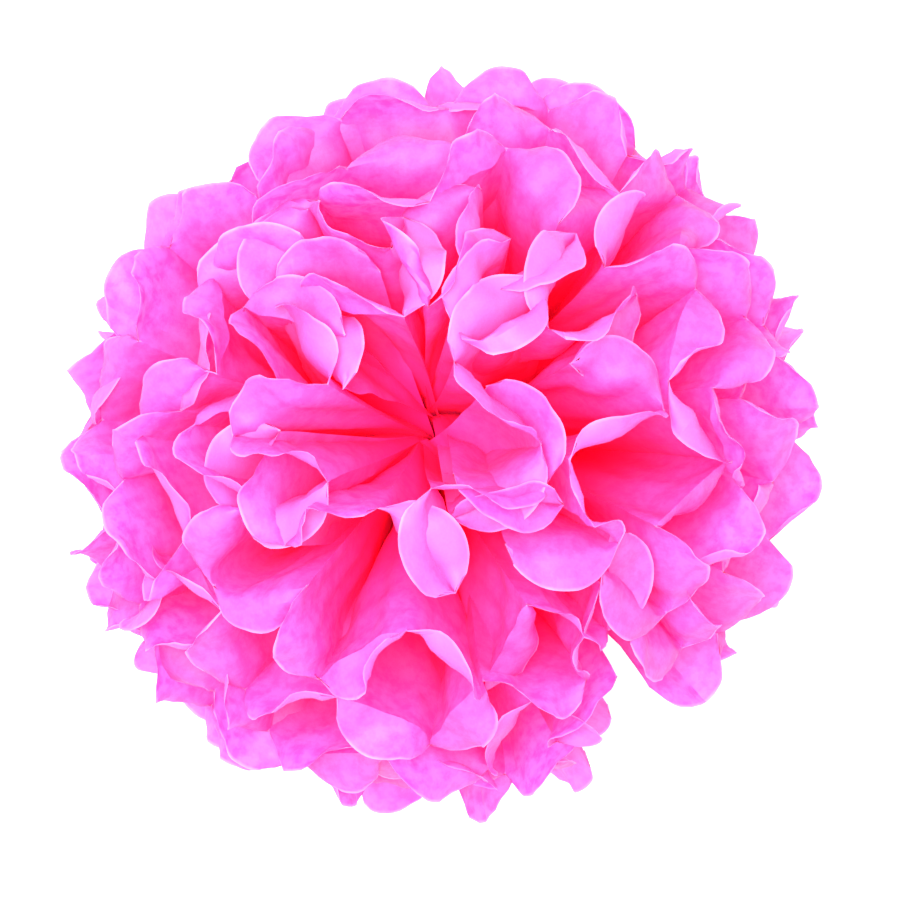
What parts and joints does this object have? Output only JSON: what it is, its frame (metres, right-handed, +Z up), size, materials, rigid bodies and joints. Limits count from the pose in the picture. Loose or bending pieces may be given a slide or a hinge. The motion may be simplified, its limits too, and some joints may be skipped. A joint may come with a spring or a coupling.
{
  "type": "tissue paper pom pom",
  "caption": "Hand-fluffed ball of pleated tissue paper sheets with round petal ends, gathered at the middle by a twisted wire.",
  "frame": {"origin": "on the surface that the ball stands on, straight below the wire at its middle", "axes": "+Z up along the ball's axis, from the lowest petals to the topmost; +X along the folded strip, from one half fan of each sheet to the other; +Y along the gap between the half fans"},
  "size_m": [0.251, 0.243, 0.2415],
  "materials": {
    "tissue_paper": "bright pink dyed tissue paper, thin, matt and translucent",
    "wire": "soft galvanised binding wire"
  },
  "bodies": {
    "root": {"tissue_sheet_01": "tissue_paper", "tissue_sheet_02": "tissue_paper", "tissue_sheet_03": "tissue_paper", "tissue_sheet_04": "tissue_paper", "tissue_sheet_05": "tissue_paper", "tissue_sheet_06": "tissue_paper", "tissue_sheet_07": "tissue_paper", "tissue_sheet_08": "tissue_paper", "tissue_sheet_09": "tissue_paper", "tissue_sheet_10": "tissue_paper", "tissue_sheet_11": "tissue_paper", "tissue_sheet_12": "tissue_paper", "wire_tie": "wire"}
  },
  "joints": []
}
